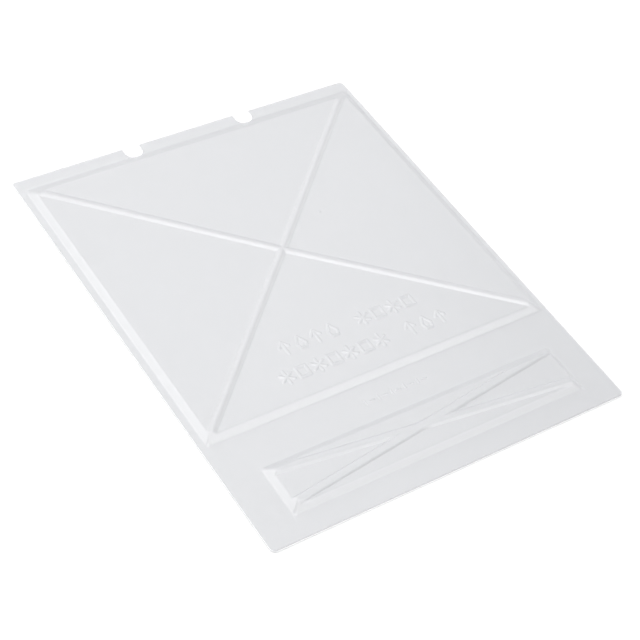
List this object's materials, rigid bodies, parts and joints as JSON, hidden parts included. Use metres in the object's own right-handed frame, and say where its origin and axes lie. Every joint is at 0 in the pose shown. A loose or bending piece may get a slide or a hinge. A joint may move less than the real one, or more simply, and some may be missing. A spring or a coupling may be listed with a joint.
{
  "type": "ice machine splash curtain",
  "caption": "Thin clear plastic splash curtain, formed in one piece, with raised cross-ribbed panels inside a flat flange and U-shaped notches in the edge it hangs by.",
  "frame": {"origin": "middle of the sheet's outline, on the underside of its flange", "axes": "+Z is the raised side, +Y points to the notched edge that it hangs by, +X is to the right when the raised side is seen with the notches at the top"},
  "size_m": [0.4064, 0.508, 0.0084],
  "materials": {
    "clear_plastic": "smooth, slightly hazy clear plastic"
  },
  "bodies": {
    "root": {"curtain": "clear_plastic"}
  },
  "joints": []
}
